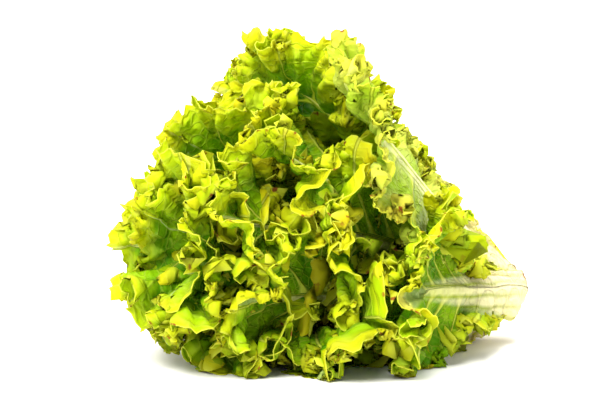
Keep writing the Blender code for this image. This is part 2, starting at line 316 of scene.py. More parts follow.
def leaf_sheet(index, rng):
    """The blade's middle surface: points, triangles, and what the ruffles and colours read there."""
    inward, length, _, base_half_width, rib = leaf_sizes(index)
    shell = 1 - (1 - INNER_SHELL) * inward
    aside_by = AZIMUTH_SHIFTS_DEG[index] if index < len(AZIMUTH_SHIFTS_DEG) else 0.0
    as_most = (RUFFLE_FROM, RUFFLE_FULL, 1.0, 0.0)
    ruffle_from, ruffle_full, pale_share, painted_highlight = BARE_BACKS.get(index, as_most)
    azimuth = math.radians(FIRST_AZIMUTH_DEG + GOLDEN_ANGLE_DEG * index + aside_by)
    phase, drift = rng.uniform(0, 2 * math.pi, 2)
    waves = WAVES + rng.uniform(-WAVES_SPREAD, WAVES_SPREAD)
    cup = rng.uniform(-CUP_SPREAD, CUP_SPREAD)
    wrap = math.radians(MOST_WRAP_DEG)
    share = 1 if index < HALF_FROM else 2 if index < QUARTER_FROM else 4
    columns = [count // share for count in FINE_COLUMNS]
    rows, used = row_indices(columns)
    points, vein = np.zeros((used, 3)), np.zeros((used, 3))
    names = ("place", "margin_run", "grown", "along", "aside", "rib", "to_margin", "tip_near", "pale_width",
             "left", "painted_highlight")
    reads = {name: np.zeros(used) for name in names}
    before, span, turns, spans = None, np.zeros(columns[0] + 1), [], []
    for place, count, row in zip(FINE_PLACES, columns, rows):
        along, aside, run = leaf_outline(index, count)
        start = np.clip(VEIN_START * along - VEIN_SPREAD * np.abs(aside), 0, None)
        x = start + (along - start) * place**VEIN_BEND
        y = aside * place
        turn = run / run[-1]
        drifting = WAVE_DRIFT * np.sin(4 * math.pi * turn + drift)
        wave = np.sin(2 * math.pi * waves * turn + phase + drifting)
        leafy = np.clip((x / length - WAVE_FROM) / (WAVE_FULL - WAVE_FROM), 0, 1)
        _, radius, most = shell_points(np.full(count + 1, azimuth), shell, x)
        swing = wrap * np.tanh(y / radius / wrap)
        rise = WAVE_HEIGHT * wave * place**2 * leafy + cup * place**2
        shift = SHELL_ROOM * np.tanh(rise / (most * np.maximum(x, LEAST_ALONG)) / SHELL_ROOM)
        placed, _, _ = shell_points(azimuth + swing, shell + shift, x)
        points[row] = sagged(placed)
        if before is not None:
            inner = np.stack([np.interp(turn, before[0], before[1][:, k]) for k in range(3)], axis=1)
            vein[row] = points[row] - inner
            span = np.interp(turn, before[0], span) + np.linalg.norm(vein[row], axis=1)
        before = (turn, points[row])
        left = np.clip(1 - x / length, 0, 1)
        rib_width = base_half_width * (RIB_WIDTH_AT_TIP + (RIB_WIDTH_AT_ROOT - RIB_WIDTH_AT_TIP) * left)
        standing = np.clip(RIB_AT_ROOT + (1 - RIB_AT_ROOT) * x / RIB_GROWN_AT, 0, 1)
        ridged = 1 - x / RIDGES_TO
        ridges = np.cos(2 * math.pi * y / RIDGE_LENGTH) * np.clip(2 * ridged, 0, 1) * standing
        reads["rib"][row] = rib * standing * left**RIB_FADE * np.exp(-((y / rib_width) ** 2))
        reads["rib"][row] += RIDGE_HEIGHT * (1 - inward) ** 2 * (1 + ridges) * np.clip(ridged, 0, 1)
        # A painted highlight: a brightly lit back is painted pale over the whole blade
        reads["left"][row], reads["painted_highlight"][row] = left, painted_highlight
        widening = (PALE_AT_ROOT - PALE_AT_TIP) * left**PALE_FADE
        pale = (PALE_AT_TIP + widening) * (1 - HEART_PALE_LOSS * inward)
        reads["pale_width"][row] = pale * pale_share
        starts = ruffle_from * (1 - MARGIN_EARLIER * place**3)
        ruffled = np.clip((x / length - starts) / (ruffle_full - ruffle_from), 0, 1)
        tip_near = np.clip((along / length - TIP_FROM) / (TIP_FULL - TIP_FROM), 0, 1)
        side_share = SIDE_SHARES.get(index, 1.0)
        ruffled = ruffled * (side_share + (1 - side_share) * tip_near)
        reads["place"][row], reads["margin_run"][row], reads["grown"][row] = place, run, ruffled
        reads["along"][row], reads["aside"][row] = x, y
        reads["tip_near"][row] = tip_near
        turns.append(turn)
        spans.append(span)
    for row, turn, reached in zip(rows, turns, spans):
        reads["to_margin"][row] = np.interp(turn, turns[-1], span) - reached
    vein[rows[0]] = AXIS
    vein /= np.maximum(np.linalg.norm(vein, axis=1), 1e-9)[:, None]
    triangles = np.concatenate([strip_triangles(inner, outer) for inner, outer in zip(rows, rows[1:])])
    return points, triangles, reads, vein


def add(tree, kind, feeds=None, **settings):
    """Adds a node: its settings, and what feeds its inputs: a value, a socket, or a node's first output."""
    made = tree.nodes.new(kind)
    for name, value in settings.items():
        setattr(made, name, value)
    for key, value in (feeds or {}).items():
        socket = made.inputs[key] if isinstance(key, int) else next(
            s for s in made.inputs if s.enabled and s.name == key
        )
        if isinstance(value, bpy.types.Node):
            value = next(s for s in value.outputs if s.enabled)
        if isinstance(value, bpy.types.NodeSocket):
            tree.links.new(value, socket)
        else:
            socket.default_value = value
    return made


def new_tree(name, inputs):
    """An empty tree of geometry nodes with those inputs, and its input and output nodes."""
    tree = bpy.data.node_groups.new(name, "GeometryNodeTree")
    tree.interface.new_socket("Geometry", in_out="INPUT", socket_type="NodeSocketGeometry")
    for label, kind in inputs.items():
        tree.interface.new_socket(label, in_out="INPUT", socket_type=kind)
    tree.interface.new_socket("Geometry", in_out="OUTPUT", socket_type="NodeSocketGeometry")
    return tree, tree.nodes.new("NodeGroupInput"), tree.nodes.new("NodeGroupOutput")


NUMBER = "NodeSocketFloat"
# The kinds of node that come up often
MATH, VECTOR_MATH, MAP_RANGE = "ShaderNodeMath", "ShaderNodeVectorMath", "ShaderNodeMapRange"
MIX, NOISE, SET_POSITION = "ShaderNodeMix", "ShaderNodeTexNoise", "GeometryNodeSetPosition"


def ruffle_tree():
    """One order of ruffles: waves across the margin that grow from a place on the blade and fold over."""
    names = ("Height", "Length", "Start", "Power", "Overhang", "Seed")
    tree, given, end = new_tree("ruffles", dict.fromkeys(names, NUMBER))
    give = given.outputs
    place, run, grown = (
        add(tree, "GeometryNodeInputNamedAttribute", {"Name": name}, data_type="FLOAT")
        for name in ("place", "margin_run", "grown")
    )
    vein = add(tree, "GeometryNodeInputNamedAttribute", {"Name": "vein"}, data_type="FLOAT_VECTOR")
    turns = add(tree, MATH, {0: run, 1: give["Length"]}, operation="DIVIDE")
    slow = add(tree, MATH, {0: turns, 1: DRIFT_RATE}, operation="MULTIPLY")
    bands = add(tree, MATH, {0: place, 1: BANDS}, operation="MULTIPLY")
    where = add(tree, "ShaderNodeCombineXYZ", {"X": slow, "Y": give["Seed"], "Z": bands})
    drift = add(tree, NOISE, {"Vector": where, "Scale": 1.0, "Detail": 1.0})
    wander = add(tree, MAP_RANGE, {"Value": drift, "To Min": -WANDER, "To Max": WANDER})
    shifted = add(tree, MATH, {0: turns, 1: wander}, operation="ADD")
    angle = add(tree, MATH, {0: shifted, 1: 2 * math.pi}, operation="MULTIPLY")
    wave = add(tree, MATH, {0: angle}, operation="SINE")
    twice = add(tree, MATH, {0: angle, 1: 2.0}, operation="MULTIPLY")
    lean = add(tree, MATH, {0: twice}, operation="SINE")
    other = add(tree, VECTOR_MATH, {0: where, 1: (7.3, 11.1, 0.0)}, operation="ADD")
    uneven = add(tree, NOISE, {"Vector": other, "Scale": STRENGTH_RATE, "Detail": 1.0})
    least, most = WAVE_STRENGTHS
    strength = add(tree, MAP_RANGE, {"Value": uneven, "From Min": NOISE_LOW, "From Max": NOISE_HIGH,
                                     "To Min": least, "To Max": most})
    past = add(tree, MAP_RANGE, {"Value": place, "From Min": give["Start"], "From Max": 1.0})
    weight = add(tree, MATH, {0: past, 1: give["Power"]}, operation="POWER")
    leafy = add(tree, MATH, {0: weight, 1: grown}, operation="MULTIPLY")
    strong = add(tree, MATH, {0: leafy, 1: strength}, operation="MULTIPLY")
    height = add(tree, MATH, {0: strong, 1: give["Height"]}, operation="MULTIPLY")
    rise = add(tree, MATH, {0: height, 1: wave}, operation="MULTIPLY")
    normal = add(tree, "GeometryNodeInputNormal")
    along = add(tree, VECTOR_MATH, {0: normal, 1: vein}, operation="CROSS_PRODUCT")
    tangent = add(tree, VECTOR_MATH, {0: along}, operation="NORMALIZE")
    over = add(tree, MATH, {0: height, 1: give["Overhang"]}, operation="MULTIPLY")
    loop = add(tree, MATH, {0: over, 1: lean}, operation="MULTIPLY")
    slide = add(tree, MATH, {0: loop, 1: -1.0}, operation="MULTIPLY")
    out = add(tree, VECTOR_MATH, {0: normal, "Scale": rise}, operation="SCALE")
    across = add(tree, VECTOR_MATH, {0: tangent, "Scale": slide}, operation="SCALE")
    offset = add(tree, VECTOR_MATH, {0: out, 1: across}, operation="ADD")
    moved = add(tree, SET_POSITION, {"Geometry": give["Geometry"], "Offset": offset})
    tree.links.new(moved.outputs[0], end.inputs[0])
    return tree


def blade_tree(ruffles):
    """A whole blade: teeth and roll, blisters and bows, the orders of ruffles, the floor, its thickness."""
    sizes = dict.fromkeys([*BLADE_SIZES, "Roll Angle", "Seed"], NUMBER)
    tree, given, end = new_tree("ruffled_blade", sizes | {"Material": "NodeSocketMaterial"})
    give = given.outputs
    place, run, grown, rib, tip, left, along, aside = (
        add(tree, "GeometryNodeInputNamedAttribute", {"Name": name}, data_type="FLOAT")
        for name in ("place", "margin_run", "grown", "rib", "tip_near", "to_margin", "along", "aside")
    )
    vein = add(tree, "GeometryNodeInputNamedAttribute", {"Name": "vein"}, data_type="FLOAT_VECTOR")
    normal = add(tree, "GeometryNodeInputNormal")
    # The teeth: points of uneven depth along the margin
    teeth = add(tree, MATH, {0: run, 1: give["Tooth Length"]}, operation="DIVIDE")
    spot = add(tree, "ShaderNodeCombineXYZ", {"X": teeth, "Y": give["Seed"]})
    uneven = add(tree, NOISE, {"Vector": spot, "Scale": TOOTH_RATE, "Detail": 2.0})
    wander = add(tree, MATH, {0: uneven, 1: TOOTH_WANDER, 2: teeth}, operation="MULTIPLY_ADD")
    saw = add(tree, MATH, {0: wander, 1: 0.5}, operation="PINGPONG")
    point = add(tree, MATH, {0: saw, 1: 2.0}, operation="MULTIPLY")
    least, most = TOOTH_STRENGTHS
    size = add(tree, MAP_RANGE, {"Value": uneven, "From Min": 0.35, "From Max": 0.65,
                                 "To Min": least, "To Max": most})
    lobes = add(tree, NOISE, {"Vector": spot, "Scale": LOBE_RATE, "Detail": 1.0})
    least, most = LOBE_REACHES
    lobe = add(tree, MAP_RANGE, {"Value": lobes, "From Min": NOISE_LOW, "From Max": NOISE_HIGH,
                                 "To Min": least, "To Max": most})
    cut = add(tree, MATH, {0: point, 1: size, 2: lobe}, operation="MULTIPLY_ADD")
    near = add(tree, MAP_RANGE, {"Value": place, "From Min": TEETH_FROM, "From Max": 1.0})
    sharp = add(tree, MATH, {0: near, 1: 2.0}, operation="POWER")
    depth = add(tree, MATH, {0: sharp, 1: give["Tooth Depth"]}, operation="MULTIPLY")
    leafy = add(tree, MATH, {0: depth, 1: grown}, operation="MULTIPLY")
    reach = add(tree, MATH, {0: leafy, 1: cut}, operation="MULTIPLY")
    # The roll: the margin bends out and back over an arc, more in some places than in others
    broad = add(tree, NOISE, {"Vector": spot, "Scale": ROLL_RATE, "Detail": 1.0})
    least, most = ROLL_STRENGTHS
    some = add(tree, MAP_RANGE, {"Value": broad, "From Min": NOISE_LOW, "From Max": NOISE_HIGH,
                                 "To Min": least, "To Max": most})
    at_tip = add(tree, MAP_RANGE, {"Value": tip, "To Min": give["Side Roll"]},
                 interpolation_type="SMOOTHSTEP")
    share = add(tree, MATH, {0: some, 1: at_tip}, operation="MULTIPLY")
    rolled = add(tree, MATH, {0: share, 1: grown}, operation="MULTIPLY")
    whole = add(tree, MATH, {0: rolled, 1: give["Roll Angle"]}, operation="MULTIPLY")
    inside = add(tree, MATH, {0: give["Roll Depth"], 1: left}, operation="SUBTRACT")
    arc = add(tree, MATH, {0: inside, 1: 0.0}, operation="MAXIMUM")
    part = add(tree, MATH, {0: arc, 1: give["Roll Depth"]}, operation="DIVIDE")
    turned_by = add(tree, MATH, {0: part, 1: whole}, operation="MULTIPLY")
    angle = add(tree, MATH, {0: turned_by, 1: 0.001}, operation="MAXIMUM")
    radius = add(tree, MATH, {0: arc, 1: angle}, operation="DIVIDE")
    sine = add(tree, MATH, {0: angle}, operation="SINE")
    cosine = add(tree, MATH, {0: angle}, operation="COSINE")
    reached = add(tree, MATH, {0: radius, 1: sine}, operation="MULTIPLY")
    drawn = add(tree, MATH, {0: reached, 1: arc}, operation="SUBTRACT")
    rest = add(tree, MATH, {0: 1.0, 1: cosine}, operation="SUBTRACT")
    stood = add(tree, MATH, {0: radius, 1: rest}, operation="MULTIPLY")
    outwards = add(tree, VECTOR_MATH, {0: normal, "Scale": stood}, operation="SCALE")
    inwards = add(tree, VECTOR_MATH, {0: vein, "Scale": drawn}, operation="SCALE")
    bowed = add(tree, VECTOR_MATH, {0: outwards, 1: inwards}, operation="ADD")
    ahead = add(tree, VECTOR_MATH, {0: vein, "Scale": cosine}, operation="SCALE")
    raised_by = add(tree, VECTOR_MATH, {0: normal, "Scale": sine}, operation="SCALE")
    heading = add(tree, VECTOR_MATH, {0: ahead, 1: raised_by}, operation="ADD")
    toothed = add(tree, VECTOR_MATH, {0: heading, "Scale": reach}, operation="SCALE")
    both = add(tree, VECTOR_MATH, {0: toothed, 1: bowed}, operation="ADD")
    shape = add(tree, SET_POSITION, {"Geometry": give["Geometry"], "Offset": both})
    # The blisters: the blade bulges between its veins
    flat = add(tree, "ShaderNodeCombineXYZ", {"X": along, "Y": aside})
    scaled = add(tree, VECTOR_MATH, {0: flat, 1: give["Blister Length"]}, operation="DIVIDE")
    deep = add(tree, "ShaderNodeCombineXYZ", {"Z": give["Seed"]})
    of_leaf = add(tree, VECTOR_MATH, {0: scaled, 1: deep}, operation="ADD")
    bubbles = add(tree, "ShaderNodeTexVoronoi", {"Vector": of_leaf, "Scale": 1.0, "Detail": 1.0,
                                                 "Smoothness": 0.5}, feature="SMOOTH_F1")
    bulge = add(tree, MAP_RANGE, {"Value": bubbles, "From Min": 0.75, "From Max": 0.05,
                                  "To Min": -0.5, "To Max": 0.5})
    off_rib = add(tree, MAP_RANGE, {"Value": place, "From Min": 0.03, "From Max": 0.25})
    on_blade = add(tree, MATH, {0: off_rib, 1: grown}, operation="MULTIPLY")
    swell = add(tree, MATH, {0: on_blade, 1: give["Blister Height"]}, operation="MULTIPLY")
    blister = add(tree, MATH, {0: bulge, 1: swell}, operation="MULTIPLY")
    swollen = add(tree, VECTOR_MATH, {0: normal, "Scale": blister}, operation="SCALE")
    shape = add(tree, SET_POSITION, {"Geometry": shape, "Offset": swollen})
    # Between the side veins the blade bows inwards, so that from behind the veins stand out
    count = add(tree, MATH, {0: run, 1: give["Vein Length"]}, operation="DIVIDE")
    beside = add(tree, MATH, {0: count, 1: 0.5}, operation="PINGPONG")
    rooted = add(tree, MATH, {0: beside, 1: 0.5}, operation="POWER")
    near_rib = add(tree, MAP_RANGE, {"Value": place, "From Min": 0.02, "From Max": 0.22})
    bow = add(tree, MATH, {0: rooted, 1: near_rib}, operation="MULTIPLY")
    leafy_bow = add(tree, MATH, {0: bow, 1: grown}, operation="MULTIPLY")
    sunk = add(tree, MATH, {0: leafy_bow, 1: give["Quilt Depth"]}, operation="MULTIPLY")
    inside_by = add(tree, MATH, {0: sunk, 1: -1.0}, operation="MULTIPLY")
    quilting = add(tree, VECTOR_MATH, {0: normal, "Scale": inside_by}, operation="SCALE")
    shape = add(tree, SET_POSITION, {"Geometry": shape, "Offset": quilting})
    # The orders of ruffles, each on the shape of the one before it
    for order, (start, power, overhang, apart) in RUFFLE_ORDERS.items():
        seed = add(tree, MATH, {0: give["Seed"], 1: apart}, operation="ADD")
        feeds = {"Geometry": shape, "Height": give[order + " Height"], "Length": give[order + " Length"],
                 "Start": start, "Power": power, "Overhang": overhang, "Seed": seed}
        shape = add(tree, "GeometryNodeGroup", feeds, node_tree=ruffles)
    # The floor: what would go through it is pressed flat on it, softly
    position = add(tree, "GeometryNodeInputPosition")
    x, y, z = add(tree, "ShaderNodeSeparateXYZ", {"Vector": position}).outputs
    soft = give["Floor Softness"]
    below = add(tree, MATH, {0: z, 1: soft}, operation="SUBTRACT")
    ratio = add(tree, MATH, {0: below, 1: soft}, operation="DIVIDE")
    least = add(tree, MATH, {0: ratio, 1: 0.0}, operation="MINIMUM")
    pressed = add(tree, MATH, {0: least}, operation="EXPONENT")
    low = add(tree, MATH, {0: pressed, 1: soft}, operation="MULTIPLY")
    above = add(tree, MATH, {0: z, 1: soft}, operation="MAXIMUM")
    over = add(tree, MATH, {0: above, 1: soft}, operation="SUBTRACT")
    level = add(tree, MATH, {0: low, 1: over}, operation="ADD")
    half = add(tree, MATH, {0: give["Blade Thickness"], 1: 0.5}, operation="MULTIPLY")
    resting = add(tree, MATH, {0: level, 1: half}, operation="ADD")
    at = add(tree, "ShaderNodeCombineXYZ", {"X": x, "Y": y, "Z": resting})
    laid = add(tree, SET_POSITION, {"Geometry": shape, "Position": at})
    # The thickness: the back with the rib standing out, the face, and the rim between them
    kept = add(tree, "GeometryNodeStoreNamedAttribute", {"Geometry": laid, "Name": "out", "Value": normal},
               data_type="FLOAT_VECTOR", domain="POINT")
    outward = add(tree, "GeometryNodeInputNamedAttribute", {"Name": "out"}, data_type="FLOAT_VECTOR")
    raised = add(tree, MATH, {0: half, 1: rib}, operation="ADD")
    to_back = add(tree, VECTOR_MATH, {0: outward, "Scale": raised}, operation="SCALE")
    minus = add(tree, MATH, {0: half, 1: -1.0}, operation="MULTIPLY")
    to_face = add(tree, VECTOR_MATH, {0: outward, "Scale": minus}, operation="SCALE")
    grown_out = add(tree, "GeometryNodeExtrudeMesh", {"Mesh": kept, "Offset Scale": 0.0,
                                                      "Individual": False}, mode="FACES")
    top = grown_out.outputs["Top"]
    choice = add(tree, "GeometryNodeSwitch", {"Switch": top, "False": to_face, "True": to_back},
                 input_type="VECTOR")
    sides = grown_out.outputs["Mesh"]
    backed = add(tree, SET_POSITION, {"Geometry": sides, "Offset": choice})
    turned = add(tree, "GeometryNodeFlipFaces", {"Mesh": kept})
    faced = add(tree, SET_POSITION, {"Geometry": turned, "Offset": to_face})
    joined = add(tree, "GeometryNodeJoinGeometry")
    tree.links.new(backed.outputs[0], joined.inputs[0])
    tree.links.new(faced.outputs[0], joined.inputs[0])
    closed = add(tree, "GeometryNodeMergeByDistance", {"Geometry": joined, "Distance": 1e-7})
    # No corner of a steep part is left under the floor
    whole_z = add(tree, MATH, {0: z, 1: 0.0}, operation="MAXIMUM")
    lifted = add(tree, "ShaderNodeCombineXYZ", {"X": x, "Y": y, "Z": whole_z})
    standing = add(tree, SET_POSITION, {"Geometry": closed, "Position": lifted})
    rounded = add(tree, "GeometryNodeSetShadeSmooth", {"Geometry": standing})
    bend = add(tree, "GeometryNodeInputMeshEdgeAngle")
    steep = add(tree, MATH, {0: bend, 1: CRISP_ANGLE}, operation="GREATER_THAN")
    on_rim = add(tree, MATH, {0: place, 1: 0.9999}, operation="GREATER_THAN")
    crisp = add(tree, MATH, {0: steep, 1: on_rim}, operation="MULTIPLY")
    smooth = add(tree, "GeometryNodeSetShadeSmooth", {"Geometry": rounded, "Selection": crisp,
                                                      "Shade Smooth": False}, domain="EDGE")
    real = add(tree, "GeometryNodeRealizeInstances", {"Geometry": smooth})
    painted = add(tree, "GeometryNodeSetMaterial", {"Geometry": real, "Material": give["Material"]})
    tree.links.new(painted.outputs[0], end.inputs[0])
    return tree


def linear(colour):
    """The linear values of an sRGB hex colour."""
    values = [int(colour[k : k + 2], 16) / 255 for k in (1, 3, 5)]
    return tuple(v / 12.92 if v <= 0.04045 else ((v + 0.055) / 1.055) ** 2.4 for v in values) + (1.0,)


# The leaf's colours
# The blade green is its own colour and also painted shade deeper in the head; the margin lemon is its own
# colour and also painted light on the exposed frills
BLADE_GREEN_AND_SHADE, MARGIN_LEMON_AND_LIGHT = linear("#569008"), linear("#e1e41c")
# The pale whitish green is a painted highlight: a brightly lit bare back painted pale
HIGHLIGHT_PALE_GREEN, FRESH_GREEN, VEIN_GREEN = linear("#e2e870"), linear("#a4cc0c"), linear("#ccd94c")
PETIOLE_CREAM, GROOVE_GREEN = linear("#f5eebc"), linear("#a2b024")
RIPE_YELLOW, RIM_YELLOW = linear("#e0c018"), linear("#d4da42")
TIP_BROWN, DRIED_BROWN = linear("#9c5f22"), linear("#9a6038")
# The leaf's patterns, in repeats a metre
TONES = 170.0  # 6 mm
PATCHES = 55.0  # 18 mm
NET = 170.0  # 6 mm
RIPE_PARTS = 60.0  # 17 mm
SPOTS = 160.0  # 6 mm
DRIED_PARTS = 130.0  # 8 mm
BLISTERS = 190.0  # 5 mm
GRAIN = 900.0  # 1 mm
SHADE_PAINTED_BELOW = 0.10  # below this height the leaves are painted greener, as painted shade under the head
SHADE_PAINTED_BY = 0.24  # how far back the painted shade sets them at the floor, on the ramp from green to lemon
# Ramps of the leaf's attributes: which one, its two ends, and the value at each
LEAF_RAMPS = (
    ("place", 0.0, 1.0, 0.022, 0.008),  # half the width of a side vein
    ("left", 0.1, 0.6, 0.25, 1.0),  # how pale the midrib is
    ("along", 0.0, 0.10, 0.10, 0.95),  # how green the petiole's grooves are
    ("place", 0.86, 1.0, 0.0, 1.0),  # the outermost part
    ("place", 0.990, 0.999, 0.0, 1.0),  # the rim
    ("place", 0.96, 0.995, 0.0, 1.0),  # where tips brown
    ("along", 0.0040, 0.0008, 0.0, 1.0),  # the cut end
)
LEAF_BUMP, GRAIN_BUMP = 0.0019, 0.0002
LIT_THROUGH = 0.45  # the share of the light that goes through the blade


def new_material(name):
    """An empty material with nodes, its tree and its output node."""
    material = bpy.data.materials.new(name)
    material.use_nodes = True
    tree = material.node_tree
    tree.nodes.clear()
    return material, tree, tree.nodes.new("ShaderNodeOutputMaterial")


def leaf_tissue():
    """Living lettuce blade: thin, faintly waxy and lit through, so its frills glow against deep green gaps.

    It is cream at the petiole, green inside and lemon at the margin, with pale veins and browned tips. The
    green inside is partly painted shade and the lemon partly painted light; the lowest leaves are painted
    greener as shade under the head, and one bare back is painted pale as a highlight.
    """
    material, tree, end = new_material("lettuce_leaf_tissue")
    read = {
        name: add(tree, "ShaderNodeAttribute", attribute_name=name).outputs["Fac"]
        for name in ("place", "margin_run", "along", "aside", "left", "pale_width", "painted_highlight")
    }
    place = add(tree, "ShaderNodeTexCoord").outputs["Object"]
    flat = add(tree, "ShaderNodeCombineXYZ", {"X": read["along"], "Y": read["aside"]})
    vein_width, paler, greener, outermost, rim, edge, cut_end = (
        add(tree, MAP_RANGE, {"Value": read[name], "From Min": start, "From Max": stop,
                              "To Min": first, "To Max": last})
        for name, start, stop, first, last in LEAF_RAMPS
    )
    # From green inside to lemon at the margin: the blade's own colour, with painted shade deeper in the
    # blade and painted light on the exposed margin. Lower down the leaves are painted greener, as painted
    # shade under the head
    uneven = add(tree, NOISE, {"Vector": flat, "Scale": TONES, "Detail": 2.0})
    reach = add(tree, MATH, {0: uneven, 1: 0.5, 2: read["place"]}, operation="MULTIPLY_ADD")
    height = add(tree, "ShaderNodeSeparateXYZ", {"Vector": place}).outputs["Z"]
    # Painted shade: near the floor the leaves are pushed back towards green
    painted_shade = add(tree, MAP_RANGE, {"Value": height, "From Min": 0.0, "From Max": SHADE_PAINTED_BELOW,
                                  "To Min": SHADE_PAINTED_BY, "To Max": 0.0})
    shaded_reach = add(tree, MATH, {0: reach, 1: painted_shade}, operation="SUBTRACT")
    toward = add(tree, MAP_RANGE, {"Value": shaded_reach, "From Min": 0.77, "From Max": 1.24},
                 interpolation_type="SMOOTHSTEP")
    patches = add(tree, NOISE, {"Vector": flat, "Scale": PATCHES, "Detail": 3.0})
    patchy = add(tree, MAP_RANGE, {"Value": patches, "From Min": 0.4, "From Max": 0.75})
    # Side veins that thin out towards the margin, and a net between them
    veins = add(tree, MATH, {0: read["margin_run"], 1: VEIN_LENGTH}, operation="DIVIDE")
    beside = add(tree, MATH, {0: veins, 1: 0.5}, operation="PINGPONG")
    spread = add(tree, MATH, {0: beside, 1: read["place"]}, operation="MULTIPLY")
    share = add(tree, MATH, {0: spread, 1: vein_width}, operation="DIVIDE")
    on_vein = add(tree, MAP_RANGE, {"Value": share, "From Min": 1.3, "From Max": 0.5})
    cells = add(tree, "ShaderNodeTexVoronoi", {"Vector": flat, "Scale": NET}, feature="DISTANCE_TO_EDGE")
    on_net = add(tree, MAP_RANGE, {"Value": cells, "From Min": 0.10, "From Max": 0.0, "To Max": 0.28})
    any_vein = add(tree, MATH, {0: on_vein, 1: on_net}, operation="MAXIMUM")
    # The midrib and the petiole, cream with greener grooves
    off_rib = add(tree, MATH, {0: read["aside"]}, operation="ABSOLUTE")
    at_rib = add(tree, MATH, {0: off_rib, 1: read["pale_width"]}, operation="DIVIDE")
    rib_near = add(tree, MAP_RANGE, {"Value": at_rib, "From Min": 1.1, "From Max": 0.55},
                   interpolation_type="SMOOTHSTEP")
    base_near = add(tree, MAP_RANGE, {"Value": read["along"], "From Min": 0.095, "From Max": 0.03},
                    interpolation_type="SMOOTHSTEP")
    pale_rib = add(tree, MATH, {0: rib_near, 1: paler}, operation="MULTIPLY")
    pale = add(tree, MATH, {0: pale_rib, 1: base_near}, operation="MAXIMUM")
    grooves = add(tree, MATH, {0: read["aside"], 1: RIDGE_LENGTH}, operation="DIVIDE")
    groove = add(tree, MATH, {0: grooves, 1: 0.5}, operation="PINGPONG")
    in_groove = add(tree, MAP_RANGE, {"Value": groove, "From Min": 0.2, "From Max": 0.5})
    green = add(tree, MATH, {0: in_groove, 1: greener}, operation="MULTIPLY")
    petiole = add(tree, MIX, {"Factor": green, "A": PETIOLE_CREAM, "B": GROOVE_GREEN}, data_type="RGBA")
    # The ripest parts of the margin, its thin light rim, and a few browned tips
    ripe = add(tree, NOISE, {"Vector": flat, "Scale": RIPE_PARTS, "Detail": 2.0})
    riper = add(tree, MAP_RANGE, {"Value": ripe, "From Min": 0.42, "From Max": 0.66, "To Max": 0.55})
    warm = add(tree, MATH, {0: riper, 1: outermost}, operation="MULTIPLY")
    spots = add(tree, NOISE, {"Vector": place, "Scale": SPOTS, "Detail": 2.0})
    spotted = add(tree, MAP_RANGE, {"Value": spots, "From Min": 0.64, "From Max": 0.70})
    at_tip = add(tree, MATH, {0: spotted, 1: edge}, operation="MULTIPLY")
    # The cut end of the petiole, browned unevenly
    dried = add(tree, NOISE, {"Vector": place, "Scale": DRIED_PARTS, "Detail": 3.0})
    some_dried = add(tree, MAP_RANGE, {"Value": dried, "From Min": 0.40, "From Max": 0.56})
    at_cut = add(tree, MATH, {0: some_dried, 1: cut_end}, operation="MULTIPLY")
    # Painted shade and light: green deeper in the blade, lemon towards the exposed margin
    colour = add(tree, MIX, {"Factor": toward, "A": BLADE_GREEN_AND_SHADE, "B": MARGIN_LEMON_AND_LIGHT}, data_type="RGBA")
    # The first layer is a painted highlight, painting a brightly lit back pale
    layers = ((read["painted_highlight"], HIGHLIGHT_PALE_GREEN), (patchy, FRESH_GREEN), (any_vein, VEIN_GREEN),
              (pale, petiole), (warm, RIPE_YELLOW), (rim, RIM_YELLOW), (at_tip, TIP_BROWN),
              (at_cut, DRIED_BROWN))
    for shown, over in layers:
        colour = add(tree, MIX, {"Factor": shown, "A": colour, "B": over}, data_type="RGBA")
    # Relief: blisters between the veins, the veins themselves and a fine grain
    blisters = add(tree, "ShaderNodeTexVoronoi", {"Vector": flat, "Scale": BLISTERS, "Detail": 1.0,
                                                  "Smoothness": 0.6}, feature="SMOOTH_F1")
    relief = add(tree, MATH, {0: blisters, 1: -1.0, 2: any_vein}, operation="MULTIPLY_ADD")
    bump = add(tree, "ShaderNodeBump", {"Height": relief, "Strength": 1.0, "Distance": LEAF_BUMP})
    grain = add(tree, NOISE, {"Vector": place, "Scale": GRAIN, "Detail": 2.0})
    fine = add(tree, "ShaderNodeBump", {"Height": grain, "Strength": 0.25, "Distance": GRAIN_BUMP,
                                        "Normal": bump})
    gloss = add(tree, MAP_RANGE, {"Value": patches, "To Min": 0.36, "To Max": 0.54})
    skin = add(tree, "ShaderNodeBsdfPrincipled", {"Base Color": colour, "Roughness": gloss, "Normal": fine,
                                                  "IOR": 1.36, "Specular IOR Level": 0.10})
    through = add(tree, "ShaderNodeBsdfTranslucent", {"Color": colour, "Normal": fine})
    mixed = add(tree, "ShaderNodeMixShader", {0: LIT_THROUGH, 1: skin, 2: through})
    tree.links.new(mixed.outputs[0], end.inputs["Surface"])
    return material


# The stem's colours
STEM_CREAM, STEM_STRAW, VESSEL_GREEN = linear("#f8f2dc"), linear("#ecdfb4"), linear("#dfe0a0")
CUT_BROWN, SPECK_BROWN = linear("#9a5a2c"), linear("#8a5a34")
# The stem's patterns, in repeats a metre: 8 mm, 5 mm and 1.6 mm
STEM_MOTTLE, STEM_PATCHES, STEM_SPECKS = 120.0, 210.0, 620.0
STEM_BUMP = 0.0004


